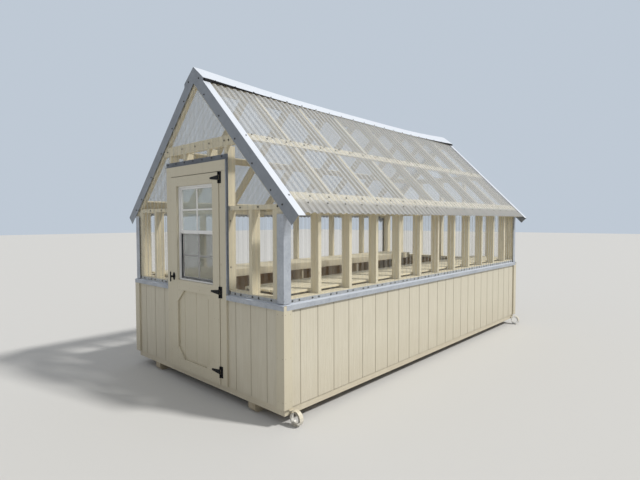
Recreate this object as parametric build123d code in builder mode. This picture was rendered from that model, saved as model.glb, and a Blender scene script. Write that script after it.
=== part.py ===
from build123d import *
import os
from math import cos, sin, radians, pi

os.makedirs("parts", exist_ok=True)

# Driving dimensions, in millimetres
# The building stands on two runners. X is its width, Y its length with the door at the
# low end, and Z is up from the ground.

# Overall sizes and levels
body_width = 2438.0
body_length = 4877.0
siding_t = 11.0
trim_t = 19.0
corner_board_w = 89.0
skid_w = 89.0
skid_h = 79.0
skid_spacing = 1600.0
skid_nose = 29.0
stud_w = 38.0
stud_d = 89.0
joist_d = 89.0
deck_t = 16.0
siding_drop = 28.0
siding_height = 809.0
belt_plate_top = 996.0
wall_top = 1730.0
stud_pitch = 406.4
nailer_rise = 116.0

# Roof
roof_angle = 45.0
rafter_d = 89.0
rafter_heel = 44.0
rafter_count = 9
tail_reach = 86.0
ridge_cut = 39.0
ridge_board_t = 19.0
ridge_board_d = 114.0
purlin_t = 19.0
purlin_w = 89.0
purlin_gap = 3.0
sheet_start = 76.0
sheet_past_siding = 171.0737
ridge_purlin = 113.0
mid_purlin = 957.0
eave_purlin_back = 31.9263

# Clear corrugated sheets
wave_pitch = 76.2
wave_depth = 12.2
sheet_t = 0.8
sheet_standoff = 0.9
under_roof = 3.0
sheet_joint = 3.0

# Folded metal trims
metal_t = 0.8
rake_face = 106.0
rake_leg = 76.0
rake_past_sheet = 35.0
corner_leg = 76.0
cap_flange = 197.0
cap_flat = 75.0
cap_fall = 1800.0
cap_lift = 2.4
cap_edge_lift = 35.0
flash_leg = 38.0
flash_back = 30.0
flash_fall = 8.0
side_flash = 24.0
head_upstand = 43.0
head_lip = 5.0

# Door opening, casing and leaf
opening_w = 823.0
door_gap = 6.0
leaf_top = 2030.0
leaf_proud = 5.0
casing_w = 89.0
casing_head_w = 100.0
ledge_t = 38.0
ledge_inset = 5.0
recess_low = 242.0
recess_high = 925.0
recess_cut = 115.0

# Window in the leaf
window_w = 614.0
window_sill = 1023.0
window_head = 1939.0
meeting_rail = 1495.0
window_border = 14.0
window_set = 24.0
sash_t = 14.0
sash_set = 14.0
sash_bar = 18.0
meeting_h = 32.0
muntin_w = 15.0
muntin_t = 8.0
pane_t = 3.0
screen_t = 8.0
screen_bar = 12.0
seat_gap = 0.3

# Siding grooves
groove_pitch = 203.2
groove_w = 9.0
groove_d = 3.0
side_groove_start = 175.0

# Hinges and handle
hinge_heights = (257.0, 970.0, 1981.0)
strap_len = 130.0
strap_base = 44.0
strap_tip = 16.0
strap_t = 3.0
plate_w = 30.0
plate_h = 102.0
knuckle_r = 5.0
knuckle_gap = 2.0
pin_r = 2.7
pin_clearance = 0.3
handle_z = 1052.0
handle_x = -368.0
handle_reach = 50.0
handle_bar_r = 6.5
handle_bar_len = 96.0
handle_stem_r = 6.0
rose_w = 44.0
rose_h = 76.0
rose_t = 4.0

# Benches
bench_top = 1030.0
bench_edge = 600.0
bench_end_gap = 10.0
slat_w = 89.0
slat_t = 19.0
slat_count = 5
leg_every = 3

# Tie-down strap coils
coil_r = 68.0
coil_t = 1.5
coil_w = 38.0
coil_core_r = 36.0
coil_turns = 1.75
coil_sides = 16
coil_start = 130.0
coil_stand_off = 58.0
coil_z = 62.0
coil_tab = 24.0
coil_end_gap = 50.0

# Worked-out values
trim_length = body_length + 2 * trim_t
trim_half = body_width / 2 + trim_t
front = handle_reach - (handle_reach + trim_length) / 2
rear = front + trim_length
frame_half = body_width / 2 - siding_t
frame_front = front + trim_t + siding_t
frame_rear = rear - trim_t - siding_t
frame_inner = frame_half - stud_d
front_in = frame_front + stud_d
rear_in = frame_rear - stud_d
floor_frame_top = skid_h + joist_d
floor_top = floor_frame_top + deck_t
siding_low = floor_frame_top - siding_drop
siding_high = siding_low + siding_height
half_opening = opening_w / 2
half_leaf = half_opening - door_gap
head_low = leaf_top + door_gap
casing_outer = half_opening + casing_w
casing_top = head_low + casing_head_w
nailer_low = casing_top + nailer_rise
nailer_high = nailer_low + stud_d
slope_cos = cos(radians(roof_angle))
slope_sin = sin(radians(roof_angle))
slope_tan = slope_sin / slope_cos
apex = wall_top + rafter_heel + frame_half * slope_tan
siding_slope = body_width / 2 / slope_cos
sheet_end = siding_slope + sheet_past_siding
eave_purlin = siding_slope - eave_purlin_back
rake_end = sheet_end + rake_past_sheet
wave_total = wave_depth + sheet_t
sheet_out = sheet_standoff + wave_total
metal_out = sheet_out + seat_gap
metal_front = frame_front - metal_out
metal_rear = frame_rear + metal_out
sheet_low_z = siding_high + flash_fall + sheet_joint
trim_n = purlin_t + wave_total + seat_gap
rake_top_n = trim_n + metal_t


def across(y):
    """Plane facing the door end, at a given Y: local x is X and local y is Z."""
    return Plane.XZ.offset(-y)


def board(x0, x1, y0, y1, z0, z1):
    """Square-edged board between two opposite corners."""
    with Locations(((x0 + x1) / 2, (y0 + y1) / 2, (z0 + z1) / 2)):
        Box(x1 - x0, y1 - y0, z1 - z0)


def on_slope(along, out):
    """Point on the right roof slope: down from the apex, and out from the rafters' tops."""
    return (
        along * slope_cos + out * slope_sin,
        apex - along * slope_sin + out * slope_cos,
    )


def roof_line(x, out):
    """Height, at a distance x from the middle, of the line that far out from the rafters."""
    return apex + out / slope_cos - abs(x) * slope_tan


def corrugated(length):
    """Closed outline of a corrugated sheet: flat crests and valleys joined by slopes."""
    count = max(1, round(length / wave_pitch))
    pitch = length / count
    lower = []
    for n in range(count):
        for share, rise in ((0.0, 0.0), (0.3, 0.0), (0.5, wave_depth), (0.8, wave_depth)):
            lower.append(((n + share) * pitch, rise))
    lower.append((length, 0.0))
    upper = [(u, v + sheet_t) for u, v in reversed(lower)]
    return lower + upper


def stud_rows(y0, y1):
    """Centres of the studs between two ends, at the stud pitch from the first end."""
    rows = []
    y = y0 + stud_pitch
    while y < y1 - 2 * stud_w:
        rows.append(y)
        y += stud_pitch
    return rows


# Two runners under the floor, their noses cut back below
with BuildPart() as skids:
    for side in (-1, 1):
        with BuildSketch(Plane.YZ.offset(side * skid_spacing / 2 - skid_w / 2)):
            Polygon(
                (frame_front, skid_h),
                (frame_front, skid_nose),
                (frame_front + skid_nose, 0),
                (frame_rear - skid_nose, 0),
                (frame_rear, skid_nose),
                (frame_rear, skid_h),
                align=None,
            )
        extrude(amount=skid_w)
skids.part.label = "skids"
export_step(skids.part, "parts/skids.step")

# Floor frame: rim boards down both sides, and joists between them from end to end
stud_spots = stud_rows(frame_front, frame_rear)
end_spots = [frame_front + stud_w / 2, frame_rear - stud_w / 2]
with BuildPart() as floor_frame:
    board(frame_half - stud_w, frame_half, frame_front, frame_rear, skid_h, floor_frame_top)
    mirror(about=Plane.YZ)
    joist_end = frame_half - stud_w - seat_gap
    for y in stud_spots + end_spots:
        board(-joist_end, joist_end, y - stud_w / 2, y + stud_w / 2, skid_h, floor_frame_top)
floor_frame.part.label = "floor_frame"
export_step(floor_frame.part, "parts/floor_frame.step")

# Floor deck
with BuildPart() as floor_deck:
    board(-frame_half, frame_half, frame_front, frame_rear, floor_frame_top, floor_top)
floor_deck.part.label = "floor_deck"
export_step(floor_deck.part, "parts/floor_deck.step")

# Long walls: three plates with the studs between them
plate_levels = (floor_top, belt_plate_top - stud_w, wall_top - stud_w)
stud_spans = [
    (low + stud_w + seat_gap, high - seat_gap)
    for low, high in zip(plate_levels, plate_levels[1:])
]
with BuildPart() as wall_frame_right:
    for z in plate_levels:
        board(frame_inner, frame_half, frame_front, frame_rear, z, z + stud_w)
    for y in stud_spots + end_spots:
        for low, high in stud_spans:
            board(frame_inner, frame_half, y - stud_w / 2, y + stud_w / 2, low, high)
wall_frame_right.part.label = "wall_frame_right"
export_step(wall_frame_right.part, "parts/wall_frame_right.step")

with BuildPart() as wall_frame_left:
    mirror(wall_frame_right.part, about=Plane.YZ)
wall_frame_left.part.label = "wall_frame_left"
export_step(wall_frame_left.part, "parts/wall_frame_left.step")

# Rear wall frame, between the long walls
with BuildPart() as wall_frame_rear:
    for z in plate_levels:
        board(-frame_inner, frame_inner, rear_in, frame_rear, z, z + stud_w)
    end_x = frame_inner - stud_w / 2
    for x in (-end_x, -2 * stud_pitch, -stud_pitch, 0, stud_pitch, 2 * stud_pitch, end_x):
        for low, high in stud_spans:
            board(x - stud_w / 2, x + stud_w / 2, rear_in, frame_rear, low, high)
wall_frame_rear.part.label = "wall_frame_rear"
export_step(wall_frame_rear.part, "parts/wall_frame_rear.step")

# Front wall frame beside the doorway: plates, corner stud, bay stud and doubled door stud
king_inner = half_opening + stud_w + seat_gap
king_outer = king_inner + stud_w
bay_stud = (king_outer + frame_inner) / 2
with BuildPart() as wall_frame_front_right:
    sole_top = floor_top + stud_w
    board(half_opening, frame_inner, frame_front, front_in, floor_top, sole_top)
    for z in plate_levels[1:]:
        board(king_outer + seat_gap, frame_inner, frame_front, front_in, z, z + stud_w)
    foot = sole_top + seat_gap
    board(half_opening, half_opening + stud_w, frame_front, front_in, foot, head_low)
    board(king_inner, king_outer, frame_front, front_in, foot, nailer_low)
    for x in (bay_stud, frame_inner - stud_w / 2):
        for low, high in stud_spans:
            board(x - stud_w / 2, x + stud_w / 2, frame_front, front_in, low, high)
wall_frame_front_right.part.label = "wall_frame_front_right"
export_step(wall_frame_front_right.part, "parts/wall_frame_front_right.step")

with BuildPart() as wall_frame_front_left:
    mirror(wall_frame_front_right.part, about=Plane.YZ)
wall_frame_front_left.part.label = "wall_frame_front_left"
export_step(wall_frame_front_left.part, "parts/wall_frame_front_left.step")


# Gable frames: a header and short studs over the door, studs at the rear, and at both
# ends a level nailer cut to the rafters
nailer_low_x = (roof_line(0, -rafter_d) - nailer_low) / slope_tan
nailer_high_x = (roof_line(0, -rafter_d) - nailer_high) / slope_tan
with BuildPart() as gable_frames:
    header_half = half_opening + stud_w
    gable_stud_top = nailer_low - seat_gap
    board(-header_half, header_half, frame_front, front_in, head_low, casing_top)
    foot = casing_top + seat_gap
    for x in (-stud_pitch / 2, stud_pitch / 2):
        board(x - stud_w / 2, x + stud_w / 2, frame_front, front_in, foot, gable_stud_top)
    for x in (-stud_pitch, 0, stud_pitch):
        board(x - stud_w / 2, x + stud_w / 2, rear_in, frame_rear, wall_top, gable_stud_top)
    for y in (frame_front, frame_rear - stud_w):
        with BuildSketch(across(y)):
            Polygon(
                (-nailer_low_x, nailer_low),
                (nailer_low_x, nailer_low),
                (nailer_high_x, nailer_high),
                (-nailer_high_x, nailer_high),
                align=None,
            )
        extrude(amount=-stud_w)
gable_frames.part.label = "gable_frames"
export_step(gable_frames.part, "parts/gable_frames.step")

# Rafters: notched over the wall plates, cut level at the peak and under the tails
tail_end = frame_half + tail_reach
soffit = roof_line(frame_half + metal_out + metal_t, rake_top_n - rake_face)
ridge_top = apex - ridge_cut
seat_x = (roof_line(0, -rafter_d) - wall_top) / slope_tan
rafter_pitch = (frame_rear - frame_front - stud_w) / (rafter_count - 1)
ridge_half = ridge_board_t / 2
with BuildPart() as rafters:
    for n in range(rafter_count):
        with BuildSketch(across(frame_front + n * rafter_pitch)):
            Polygon(
                (ridge_half, ridge_top),
                (ridge_cut / slope_tan, ridge_top),
                (tail_end, roof_line(tail_end, 0)),
                (tail_end, soffit),
                (frame_half, soffit),
                (frame_half, wall_top),
                (seat_x, wall_top),
                (ridge_half, roof_line(ridge_half, -rafter_d)),
                align=None,
            )
            mirror(about=Plane.YZ)
        extrude(amount=-stud_w)
rafters.part.label = "rafters"
export_step(rafters.part, "parts/rafters.step")

# Ridge board between the rafters
with BuildPart() as ridge_board:
    board(-ridge_half, ridge_half, frame_front, frame_rear, ridge_top - ridge_board_d, ridge_top)
ridge_board.part.label = "ridge_board"
export_step(ridge_board.part, "parts/ridge_board.step")

# Purlins on the rafters: at the ridge, half way down, and two side by side at the eave
purlin_starts = (
    ridge_purlin - purlin_w / 2,
    mid_purlin - purlin_w / 2,
    eave_purlin - purlin_w / 2,
    eave_purlin + purlin_w / 2 + purlin_gap,
)
with BuildPart() as purlins:
    with BuildSketch(across(frame_front)):
        for start in purlin_starts:
            Polygon(
                on_slope(start, 0),
                on_slope(start + purlin_w, 0),
                on_slope(start + purlin_w, purlin_t),
                on_slope(start, purlin_t),
                align=None,
            )
        mirror(about=Plane.YZ)
    extrude(amount=frame_front - frame_rear)
purlins.part.label = "purlins"
export_step(purlins.part, "parts/purlins.step")

# Grooved panel siding on the lower walls
with BuildPart() as siding_right:
    siding_y = front + trim_t
    board(frame_half, frame_half + siding_t, siding_y, rear - trim_t, siding_low, siding_high)
    groove_y = siding_y + side_groove_start
    groove_count = int((body_length - side_groove_start) / groove_pitch) + 1
    with Locations(*[
        (frame_half + siding_t - groove_d / 2, groove_y + n * groove_pitch, 0)
        for n in range(groove_count)
    ]):
        Box(groove_d, groove_w, 3 * siding_height, mode=Mode.SUBTRACT)
siding_right.part.label = "siding_right"
export_step(siding_right.part, "parts/siding_right.step")

with BuildPart() as siding_left:
    mirror(siding_right.part, about=Plane.YZ)
siding_left.part.label = "siding_left"
export_step(siding_left.part, "parts/siding_left.step")

groove_half = int(frame_half / groove_pitch)
with BuildPart() as siding_rear:
    board(-frame_half, frame_half, frame_rear, frame_rear + siding_t, siding_low, siding_high)
    with Locations(*[
        (n * groove_pitch, frame_rear + siding_t - groove_d / 2, 0)
        for n in range(-groove_half, groove_half + 1)
    ]):
        Box(groove_w, groove_d, 3 * siding_height, mode=Mode.SUBTRACT)
siding_rear.part.label = "siding_rear"
export_step(siding_rear.part, "parts/siding_rear.step")

with BuildPart() as siding_front:
    siding_face = frame_front - siding_t
    board(half_opening, frame_half, siding_face, frame_front, siding_low, siding_high)
    board(-frame_half, -half_opening, siding_face, frame_front, siding_low, siding_high)
    with Locations(*[
        (n * groove_pitch, siding_face + groove_d / 2, 0)
        for n in range(-groove_half, groove_half + 1)
    ]):
        Box(groove_w, groove_d, 3 * siding_height, mode=Mode.SUBTRACT)
siding_front.part.label = "siding_front"
export_step(siding_front.part, "parts/siding_front.step")

# Corner boards, each an L of two boards, up to the belt flashing
with BuildPart() as corner_boards:
    for side in (-1, 1):
        for y0, y1, y2 in (
            (front, front + trim_t, front + corner_board_w),
            (rear, rear - trim_t, rear - corner_board_w),
        ):
            with BuildSketch(Plane.XY.offset(siding_low)):
                Polygon(
                    (side * trim_half, y0),
                    (side * (trim_half - corner_board_w), y0),
                    (side * (trim_half - corner_board_w), y1),
                    (side * (trim_half - trim_t), y1),
                    (side * (trim_half - trim_t), y2),
                    (side * trim_half, y2),
                    align=None,
                )
            extrude(amount=siding_height - 0.5)
corner_boards.part.label = "corner_boards"
export_step(corner_boards.part, "parts/corner_boards.step")

# Galvanised belt flashing: up behind the sheets, out over the siding and down its face
belt_out = siding_t + trim_t + seat_gap + metal_t
belt_high = siding_high + flash_fall
belt_points = (
    (0, belt_high + metal_t),
    (belt_out, siding_high + metal_t),
    (belt_out, siding_high - flash_leg),
    (belt_out - metal_t, siding_high - flash_leg),
    (belt_out - metal_t, siding_high),
    (0, belt_high),
)
belt_reach = frame_half + belt_out
belt_inner = casing_outer + seat_gap
upstand_top = belt_high + flash_back
with BuildPart() as belt_flashing:
    for side in (-1, 1):
        with BuildSketch(across(frame_front + seat_gap)):
            Polygon(*[(side * (frame_half + u), z) for u, z in belt_points], align=None)
            Polygon(
                (side * frame_half, belt_high),
                (side * (frame_half + metal_t), belt_high),
                (side * (frame_half + metal_t), upstand_top),
                (side * frame_half, upstand_top),
                align=None,
            )
        extrude(amount=frame_front - frame_rear + 2 * seat_gap)
        with BuildSketch(Plane.YZ.offset(side * belt_inner)):
            Polygon(*[(frame_front - u, z) for u, z in belt_points], align=None)
        extrude(amount=side * (belt_reach - belt_inner))
        x0, x1 = sorted((side * belt_inner, side * frame_half))
        board(x0, x1, frame_front - metal_t, frame_front, belt_high, upstand_top)
    with BuildSketch(Plane.YZ.offset(-belt_reach)):
        Polygon(*[(frame_rear + u, z) for u, z in belt_points], align=None)
    extrude(amount=2 * belt_reach)
    board(-frame_half, frame_half, frame_rear, frame_rear + metal_t, belt_high, upstand_top)
belt_flashing.part.label = "belt_flashing"
export_step(belt_flashing.part, "parts/belt_flashing.step")

# Clear corrugated sheets on the long walls
side_sheet_top = soffit - under_roof
with BuildPart() as sheet_wall_right:
    with BuildSketch(Plane.XY.offset(sheet_low_z)):
        wave = corrugated(frame_rear - frame_front)
        face = frame_half + sheet_standoff
        Polygon(*[(face + v, frame_front + u) for u, v in wave], align=None)
    extrude(amount=side_sheet_top - sheet_low_z)
sheet_wall_right.part.label = "sheet_wall_right"
export_step(sheet_wall_right.part, "parts/sheet_wall_right.step")

with BuildPart() as sheet_wall_left:
    mirror(sheet_wall_right.part, about=Plane.YZ)
sheet_wall_left.part.label = "sheet_wall_left"
export_step(sheet_wall_left.part, "parts/sheet_wall_left.step")


def gable_outline(x0, x1, low):
    """Corners of the gable between two uprights, over a level and under the roof sheets."""
    out = purlin_t - under_roof
    points = [(x0, low), (x1, low), (x1, roof_line(x1, out))]
    if x0 < 0 < x1:
        points.append((0, roof_line(0, out)))
    points.append((x0, roof_line(x0, out)))
    return points


# Clear sheets on the front: a bay each side of the door, and the gable over it
front_face = frame_front - sheet_standoff
bay_inner = casing_outer + sheet_joint
with BuildPart() as sheet_front_bays:
    with BuildSketch(Plane.XY.offset(sheet_low_z)):
        wave = corrugated(frame_half - bay_inner)
        Polygon(*[(bay_inner + u, front_face - v) for u, v in wave], align=None)
    extrude(amount=apex)
    with BuildSketch(across(front)):
        Polygon(*gable_outline(bay_inner, frame_half, sheet_low_z), align=None)
    extrude(amount=-2 * stud_d, mode=Mode.INTERSECT)
    mirror(about=Plane.YZ)
sheet_front_bays.part.label = "sheet_front_bays"
export_step(sheet_front_bays.part, "parts/sheet_front_bays.step")

with BuildPart() as sheet_front_gable:
    gable_half = casing_outer
    gable_low = casing_top + 2 * sheet_joint
    with BuildSketch(Plane.XY.offset(gable_low)):
        wave = corrugated(2 * gable_half)
        Polygon(*[(u - gable_half, front_face - v) for u, v in wave], align=None)
    extrude(amount=apex)
    with BuildSketch(across(front)):
        Polygon(*gable_outline(-gable_half, gable_half, gable_low), align=None)
    extrude(amount=-2 * stud_d, mode=Mode.INTERSECT)
sheet_front_gable.part.label = "sheet_front_gable"
export_step(sheet_front_gable.part, "parts/sheet_front_gable.step")

# Clear sheets on the rear, from the belt to the ridge
with BuildPart() as sheet_rear:
    with BuildSketch(Plane.XY.offset(sheet_low_z)):
        wave = corrugated(2 * frame_half)
        face = frame_rear + sheet_standoff
        Polygon(*[(u - frame_half, face + v) for u, v in wave], align=None)
    extrude(amount=apex)
    with BuildSketch(across(rear_in)):
        Polygon(*gable_outline(-frame_half, frame_half, sheet_low_z), align=None)
    extrude(amount=-2 * stud_d, mode=Mode.INTERSECT)
sheet_rear.part.label = "sheet_rear"
export_step(sheet_rear.part, "parts/sheet_rear.step")

# Clear roof sheets, their corrugations running down the slope
roof_front = frame_front - sheet_out
down_slope = Plane(
    origin=(0, roof_front, apex), x_dir=(0, 1, 0), z_dir=(slope_cos, 0, -slope_sin)
)
with BuildPart() as sheet_roof_right:
    with BuildSketch(down_slope.offset(sheet_start)):
        wave = corrugated(frame_rear - frame_front + 2 * sheet_out)
        Polygon(*[(u, purlin_t + v) for u, v in wave], align=None)
    extrude(amount=sheet_end - sheet_start)
sheet_roof_right.part.label = "sheet_roof_right"
export_step(sheet_roof_right.part, "parts/sheet_roof_right.step")

with BuildPart() as sheet_roof_left:
    mirror(sheet_roof_right.part, about=Plane.YZ)
sheet_roof_left.part.label = "sheet_roof_left"
export_step(sheet_roof_left.part, "parts/sheet_roof_left.step")


def slope_band(low, high, end):
    """Band down the right slope between two distances out, plumb at the peak."""
    Polygon(
        (seat_gap / 2, roof_line(seat_gap / 2, low)),
        (seat_gap / 2, roof_line(seat_gap / 2, high)),
        on_slope(end, high),
        on_slope(end, low),
        align=None,
    )


# Galvanised rake trims: an angle down each slope of each gable
with BuildPart() as rake_trims:
    for y, way in ((metal_front, 1), (metal_rear, -1)):
        with BuildSketch(across(y)):
            slope_band(rake_top_n - rake_face, rake_top_n, rake_end)
            mirror(about=Plane.YZ)
        extrude(amount=way * metal_t)
        with BuildSketch(across(y)):
            slope_band(trim_n, rake_top_n, rake_end)
            mirror(about=Plane.YZ)
        extrude(amount=-way * (rake_leg - metal_t))
rake_trims.part.label = "rake_trims"
export_step(rake_trims.part, "parts/rake_trims.step")

# Ridge cap: a flat-crowned strip over the rakes' peaks at both ends, and drawn down from
# there until it lies on the roof sheets
cap_level = rake_leg + metal_t
cap_stations = [0, cap_level]
cap_stations += [cap_level + (cap_fall - cap_level) * share for share in (0.2, 0.45, 0.7, 1.0)]
cap_length = metal_rear - metal_front + 2 * metal_t
cap_edge = on_slope(cap_flange, trim_n)
with BuildPart() as ridge_cap:
    for u in cap_stations + [cap_length - u for u in reversed(cap_stations)]:
        fallen = (min(u, cap_length - u) - cap_level) / (cap_fall - cap_level)
        raised = (1 - max(0, fallen)) ** 2
        crown = max(cap_flat * (1 - raised), metal_t)
        crown_z = roof_line(crown, trim_n) + cap_lift * raised
        edge_z = cap_edge[1] + cap_edge_lift * raised
        line = [(-cap_edge[0], edge_z), (-crown, crown_z), (crown, crown_z), (cap_edge[0], edge_z)]
        outer = [(x, z + metal_t / slope_cos) for x, z in reversed(line)]
        with BuildSketch(across(metal_front - metal_t + u)):
            Polygon(*(line + outer), align=None)
    loft(ruled=True)
ridge_cap.part.label = "ridge_cap"
export_step(ridge_cap.part, "parts/ridge_cap.step")

# Corner angles over the ends of the wall sheets
corner_face = frame_half + metal_out
corner_edge = corner_face + metal_t
with BuildPart() as corner_angles:
    for side in (-1, 1):
        for y, way in ((metal_front, -1), (metal_rear, 1)):
            with BuildSketch(Plane.XY.offset(sheet_low_z)):
                Polygon(
                    (side * corner_edge, y + way * metal_t),
                    (side * (corner_edge - corner_leg), y + way * metal_t),
                    (side * (corner_edge - corner_leg), y),
                    (side * corner_face, y),
                    (side * corner_face, y - way * (corner_leg - metal_t)),
                    (side * corner_edge, y - way * (corner_leg - metal_t)),
                    align=None,
                )
            extrude(amount=side_sheet_top - sheet_low_z)
corner_angles.part.label = "corner_angles"
export_step(corner_angles.part, "parts/corner_angles.step")

# Door casing: side boards packed out above the siding, and the head board over them
with BuildPart() as door_casing_sides:
    board(half_opening, casing_outer, front, front + trim_t, siding_low, head_low)
    board(half_opening, casing_outer, front + trim_t, frame_front, siding_high, head_low)
    mirror(about=Plane.YZ)
door_casing_sides.part.label = "door_casing_sides"
export_step(door_casing_sides.part, "parts/door_casing_sides.step")

with BuildPart() as door_casing_head:
    board(-casing_outer, casing_outer, front, frame_front, head_low, casing_top)
door_casing_head.part.label = "door_casing_head"
export_step(door_casing_head.part, "parts/door_casing_head.step")

# Flashing down both sides of the casing and over its head
with BuildPart() as casing_flashing:
    side_x = casing_outer + seat_gap
    with BuildSketch(Plane.XY.offset(sheet_low_z)):
        Polygon(
            (side_x, frame_front - metal_t),
            (side_x, front + seat_gap),
            (side_x + metal_t, front + seat_gap),
            (side_x + metal_t, metal_front - metal_t),
            (side_x + side_flash, metal_front - metal_t),
            (side_x + side_flash, metal_front),
            (side_x + metal_t, metal_front),
            (side_x + metal_t, frame_front - metal_t),
            align=None,
        )
        mirror(about=Plane.YZ)
    extrude(amount=casing_top - sheet_low_z)
    head_z = casing_top + seat_gap
    with BuildSketch(Plane.YZ.offset(-side_x - side_flash)):
        Polygon(
            (front - metal_t, head_z - head_lip),
            (front, head_z - head_lip),
            (front, head_z),
            (metal_front, head_z),
            (metal_front, head_z + head_upstand),
            (metal_front - metal_t, head_z + head_upstand),
            (metal_front - metal_t, head_z + metal_t),
            (front - metal_t, head_z + metal_t),
            align=None,
        )
    extrude(amount=2 * (side_x + side_flash))
casing_flashing.part.label = "casing_flashing"
export_step(casing_flashing.part, "parts/casing_flashing.step")

# Slatted benches along both long walls: boards, bearers at the studs, and legs
bench_y0 = front_in + bench_end_gap
bench_y1 = rear_in - bench_end_gap
bearer_x = bench_edge + slat_t
bearer_high = bench_top - slat_t
bearer_low = bearer_high - stud_d
slat_pitch = (frame_inner - slat_w - bearer_x) / (slat_count - 1)
with BuildPart() as bench_boards:
    board(bench_edge, bearer_x - seat_gap, bench_y0, bench_y1, bench_top - slat_w, bench_top)
    for n in range(slat_count):
        x = bearer_x + n * slat_pitch
        board(x, x + slat_w, bench_y0, bench_y1, bearer_high, bench_top)
    mirror(about=Plane.YZ)
bench_boards.part.label = "bench_boards"
export_step(bench_boards.part, "parts/bench_boards.step")

with BuildPart() as bench_bearers:
    for y in stud_spots:
        board(bearer_x, frame_inner, y - stud_w / 2, y + stud_w / 2, bearer_low, bearer_high)
    mirror(about=Plane.YZ)
bench_bearers.part.label = "bench_bearers"
export_step(bench_bearers.part, "parts/bench_bearers.step")

with BuildPart() as bench_legs:
    for y in stud_spots[1::leg_every]:
        leg_end = bearer_x + stud_d
        board(bearer_x, leg_end, y - stud_w / 2, y + stud_w / 2, floor_top, bearer_low)
    mirror(about=Plane.YZ)
bench_legs.part.label = "bench_legs"
export_step(bench_legs.part, "parts/bench_legs.step")

# Coiled tie-down straps by the right wall's two corners: a tab on the floor rim, then a strap
# that goes out over the top and winds inwards
with BuildPart() as tie_down_straps:
    coil_x = frame_half + coil_stand_off
    coil_steps = round(coil_sides * coil_turns)
    tab_top = coil_z + coil_r * sin(radians(coil_start))
    outside = [(frame_half, tab_top - coil_tab), (frame_half, tab_top)]
    inside = [(x + coil_t, z - coil_t * n) for n, (x, z) in enumerate(outside)]
    for n in range(coil_steps + 1):
        turn = radians(coil_start - 360 * n / coil_sides)
        reach = coil_r - (coil_r - coil_core_r) * n / coil_steps
        outside.append((coil_x + reach * cos(turn), coil_z + reach * sin(turn)))
        reach -= coil_t
        inside.append((coil_x + reach * cos(turn), coil_z + reach * sin(turn)))
    for y in (frame_front + coil_end_gap, frame_rear - coil_end_gap - coil_w):
        with BuildSketch(across(y)):
            Polygon(*(outside + inside[::-1]), align=None)
        extrude(amount=-coil_w)
tie_down_straps.part.label = "tie_down_straps"
export_step(tie_down_straps.part, "parts/tie_down_straps.step")

# Door leaf from outside in: planted boards, grooved panel, and a frame of stiles and rails
leaf_front = front - leaf_proud
panel_front = leaf_front + trim_t
ledge_front = panel_front + siding_t
ledge_back = ledge_front + ledge_t
half_window = window_w / 2
window_mid = (window_sill + window_head) / 2
window_h = window_head - window_sill
rail_half = half_window - seat_gap
with BuildPart() as door_boards:
    board(half_window, half_leaf, leaf_front, panel_front, siding_low, leaf_top)
    mirror(about=Plane.YZ)
    for low, high in (
        (siding_low, recess_low),
        (recess_high, window_sill),
        (window_head, leaf_top),
    ):
        board(-rail_half, rail_half, leaf_front, panel_front, low, high)
    with BuildSketch(across(leaf_front)):
        for edge, rise in ((recess_low + seat_gap, 1), (recess_high - seat_gap, -1)):
            Polygon(
                (rail_half, edge),
                (rail_half - recess_cut, edge),
                (rail_half, edge + rise * recess_cut),
                align=None,
            )
        mirror(about=Plane.YZ)
    extrude(amount=-trim_t)
door_boards.part.label = "door_boards"
export_step(door_boards.part, "parts/door_boards.step")

with BuildPart() as door_panel:
    board(-half_leaf, half_leaf, panel_front, ledge_front, siding_low, leaf_top)
    with Locations((0, (panel_front + ledge_front) / 2, window_mid)):
        Box(window_w, 2 * siding_t, window_h, mode=Mode.SUBTRACT)
    with Locations(*[(n * groove_pitch, panel_front + groove_d / 2, 0) for n in (-1, 0, 1)]):
        Box(groove_w, groove_d, 2 * window_sill, mode=Mode.SUBTRACT)
door_panel.part.label = "door_panel"
export_step(door_panel.part, "parts/door_panel.step")

with BuildPart() as door_ledges:
    ledge_low = floor_top + door_gap
    board(half_window, half_leaf - ledge_inset, ledge_front, ledge_back, ledge_low, leaf_top)
    mirror(about=Plane.YZ)
    for low, high in (
        (ledge_low, ledge_low + stud_d),
        (window_sill - stud_d, window_sill),
        (window_head, leaf_top),
    ):
        board(-rail_half, rail_half, ledge_front, ledge_back, low, high)
door_ledges.part.label = "door_ledges"
export_step(door_ledges.part, "parts/door_ledges.step")


def ring(half, low, high, width):
    """Upright rectangular ring on the current sketch."""
    with Locations((0, (low + high) / 2)):
        Rectangle(2 * half, high - low)
        Rectangle(2 * (half - width), high - low - 2 * width, mode=Mode.SUBTRACT)


# Single-hung window in the leaf: frame, two divided sashes, panes and the lower screen
frame_x = half_window - seat_gap
frame_low = window_sill + seat_gap
frame_high = window_head - seat_gap
with BuildPart() as window_frame:
    frame_y = leaf_front + window_set
    jamb_x = frame_x - window_border
    board(jamb_x, frame_x, frame_y, ledge_back, frame_low, frame_high)
    mirror(about=Plane.YZ)
    for low in (frame_low, frame_high - window_border):
        high = low + window_border
        board(seat_gap - jamb_x, jamb_x - seat_gap, frame_y, ledge_back, low, high)
window_frame.part.label = "window_frame"
export_step(window_frame.part, "parts/window_frame.step")

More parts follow.
